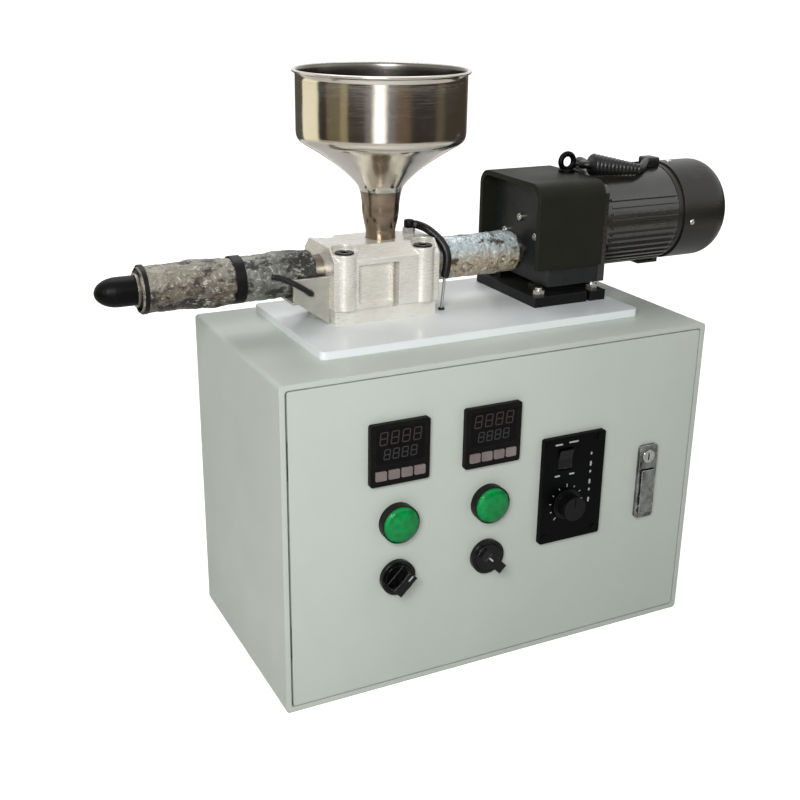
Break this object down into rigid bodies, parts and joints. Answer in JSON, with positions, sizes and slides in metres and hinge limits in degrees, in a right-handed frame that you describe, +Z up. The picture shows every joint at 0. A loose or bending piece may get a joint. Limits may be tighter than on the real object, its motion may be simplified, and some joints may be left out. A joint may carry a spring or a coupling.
{
  "type": "desktop plastic extruder",
  "caption": "Small screw extruder on a control cabinet: heated barrel with nozzle, feed block and hopper, gear motor, and a hinged door with temperature controllers, lamps and switches.",
  "frame": {"origin": "centre of the cabinet's underside", "axes": "+X along the barrel towards the motor, to the right for someone in front of the door; +Y away from the door, to the back; +Z up"},
  "size_m": [0.5238, 0.2153, 0.4352],
  "materials": {
    "cabinet_paint": "pale green-grey powder coat, semi-gloss",
    "plate_paint": "pale grey paint, glossy",
    "zinc_steel": "bright zinc-plated sheet",
    "rubber_black": "black rubber and cable jacket",
    "nylon_black": "black moulded plastic",
    "ivory_plastic": "ivory moulded plastic",
    "cast_aluminium": "machined and polished casting",
    "black_steel": "black-oxide steel",
    "barrel_steel": "turned steel, heat-stained",
    "heater_sheet": "stainless band",
    "foil_lagging": "crumpled foil tape over glass cloth",
    "foil_sleeve": "crumpled foil tape",
    "motor_black": "black satin paint",
    "gearbox_grey": "dark grey satin paint",
    "copper_winding": "varnished copper winding in a steel stack",
    "gear_steel": "cut steel",
    "stainless": "polished stainless steel",
    "lock_chrome": "chromed zinc",
    "gloss_black": "gloss black plastic",
    "lens_green": "translucent green, domed",
    "key_grey": "grey moulded keys"
  },
  "bodies": {
    "cabinet": {"cabinet_body": "cabinet_paint", "mounting_panel": "zinc_steel", "hinge_pins": "zinc_steel", "terminal_strip": "nylon_black", "solid_state_relays": "ivory_plastic", "cable_gland": "nylon_black", "base_plate": "plate_paint", "feed_block": "cast_aluminium", "feed_block_screws": "black_steel", "barrel": "barrel_steel", "barrel_saddle": "zinc_steel", "nozzle": "black_steel", "heater_bands": "heater_sheet", "barrel_lagging": "foil_lagging", "lagging_straps": "black_steel", "bearing_housing": "barrel_steel", "bearing_lagging": "foil_sleeve", "thrust_bearing": "zinc_steel", "motor_bracket": "motor_black", "motor_hood": "motor_black", "bracket_bolts": "zinc_steel", "gearbox_case": "gearbox_grey", "motor_housing": "motor_black", "motor_end_bell": "motor_black", "fan_cover": "motor_black", "motor_stator": "copper_winding", "lifting_eye": "motor_black", "motor_lead": "rubber_black", "sensor_leads": "rubber_black"},
    "door": {"door": "cabinet_paint", "door_gasket": "rubber_black", "lock_housing": "lock_chrome", "controller_cases": "nylon_black", "controller_windows": "gloss_black", "lamp_collars": "nylon_black", "lamp_lenses": "lens_green", "selector_bases": "lock_chrome", "speed_controller": "nylon_black"},
    "lock_handle": {"lock_handle": "gloss_black"},
    "lock_cylinder": {"lock_cylinder": "zinc_steel"},
    "selector_left": {"selector_left": "gloss_black"},
    "selector_right": {"selector_right": "gloss_black"},
    "speed_knob": {"speed_knob": "nylon_black"},
    "run_switch": {"run_switch": "gloss_black"},
    "hopper": {"hopper": "stainless"},
    "rotor": {"motor_rotor": "gear_steel", "cooling_fan": "ivory_plastic"},
    "idler": {"idler_gears": "gear_steel"},
    "screw": {"output_shaft": "gear_steel", "shaft_coupling": "barrel_steel", "screw": "barrel_steel"},
    "key_left_1": {"key_left_1": "key_grey"},
    "key_left_2": {"key_left_2": "key_grey"},
    "key_left_3": {"key_left_3": "key_grey"},
    "key_left_4": {"key_left_4": "key_grey"},
    "key_right_1": {"key_right_1": "key_grey"},
    "key_right_2": {"key_right_2": "key_grey"},
    "key_right_3": {"key_right_3": "key_grey"},
    "key_right_4": {"key_right_4": "key_grey"}
  },
  "joints": [
    {"name": "door_swing", "type": "hinge", "parent": "cabinet", "child": "door", "pos_m": [-0.1615, -0.086, 0.125], "axis": [0, 0, -1], "range_deg": [0, 110]},
    {"name": "lock_handle_flip", "type": "hinge", "parent": "door", "child": "lock_handle", "pos_m": [0.1295, -0.092, 0.105], "axis": [1, 0, 0], "range_deg": [0, 45]},
    {"name": "lock_turn", "type": "hinge", "parent": "door", "child": "lock_cylinder", "pos_m": [0.1295, -0.08, 0.1475], "axis": [0, -1, 0], "range_deg": [0, 90]},
    {"name": "selector_left_turn", "type": "hinge", "parent": "door", "child": "selector_left", "pos_m": [-0.0885, -0.095, 0.092], "axis": [0, -1, 0], "range_deg": [0, 90]},
    {"name": "selector_right_turn", "type": "hinge", "parent": "door", "child": "selector_right", "pos_m": [-0.014, -0.095, 0.092], "axis": [0, -1, 0], "range_deg": [-90, 0]},
    {"name": "speed_turn", "type": "hinge", "parent": "door", "child": "speed_knob", "pos_m": [0.053, -0.095, 0.123], "axis": [0, 1, 0], "range_deg": [0, 280]},
    {"name": "run_switch_rock", "type": "hinge", "parent": "door", "child": "run_switch", "pos_m": [0.05, -0.092, 0.16], "axis": [1, 0, 0], "range_deg": [-14, 0]},
    {"name": "key_left_1_push", "type": "slide", "parent": "door", "child": "key_left_1", "axis": [0, 1, 0], "range_m": [0, 0.0006], "stiffness_N_per_m": 200},
    {"name": "key_left_2_push", "type": "slide", "parent": "door", "child": "key_left_2", "axis": [0, 1, 0], "range_m": [0, 0.0006], "stiffness_N_per_m": 200},
    {"name": "key_left_3_push", "type": "slide", "parent": "door", "child": "key_left_3", "axis": [0, 1, 0], "range_m": [0, 0.0006], "stiffness_N_per_m": 200},
    {"name": "key_left_4_push", "type": "slide", "parent": "door", "child": "key_left_4", "axis": [0, 1, 0], "range_m": [0, 0.0006], "stiffness_N_per_m": 200},
    {"name": "key_right_1_push", "type": "slide", "parent": "door", "child": "key_right_1", "axis": [0, 1, 0], "range_m": [0, 0.0006], "stiffness_N_per_m": 200},
    {"name": "key_right_2_push", "type": "slide", "parent": "door", "child": "key_right_2", "axis": [0, 1, 0], "range_m": [0, 0.0006], "stiffness_N_per_m": 200},
    {"name": "key_right_3_push", "type": "slide", "parent": "door", "child": "key_right_3", "axis": [0, 1, 0], "range_m": [0, 0.0006], "stiffness_N_per_m": 200},
    {"name": "key_right_4_push", "type": "slide", "parent": "door", "child": "key_right_4", "axis": [0, 1, 0], "range_m": [0, 0.0006], "stiffness_N_per_m": 200},
    {"name": "hopper_lift", "type": "slide", "parent": "cabinet", "child": "hopper", "axis": [0, 0, 1], "range_m": [0, 0.06]},
    {"name": "rotor_spin", "type": "hinge", "parent": "cabinet", "child": "rotor", "pos_m": [0.2, 0.025, 0.314], "axis": [1, 0, 0], "continuous": true},
    {"name": "idler_spin", "type": "hinge", "parent": "cabinet", "child": "idler", "pos_m": [0.11, 0.04265, 0.303], "axis": [1, 0, 0], "continuous": true},
    {"name": "screw_spin", "type": "hinge", "parent": "cabinet", "child": "screw", "pos_m": [0, 0.025, 0.292], "axis": [1, 0, 0], "continuous": true}
  ],
  "couplings": [
    {"joint": "idler_spin", "follows": "rotor_spin", "ratio": -0.3},
    {"joint": "screw_spin", "follows": "rotor_spin", "ratio": 0.09}
  ]
}
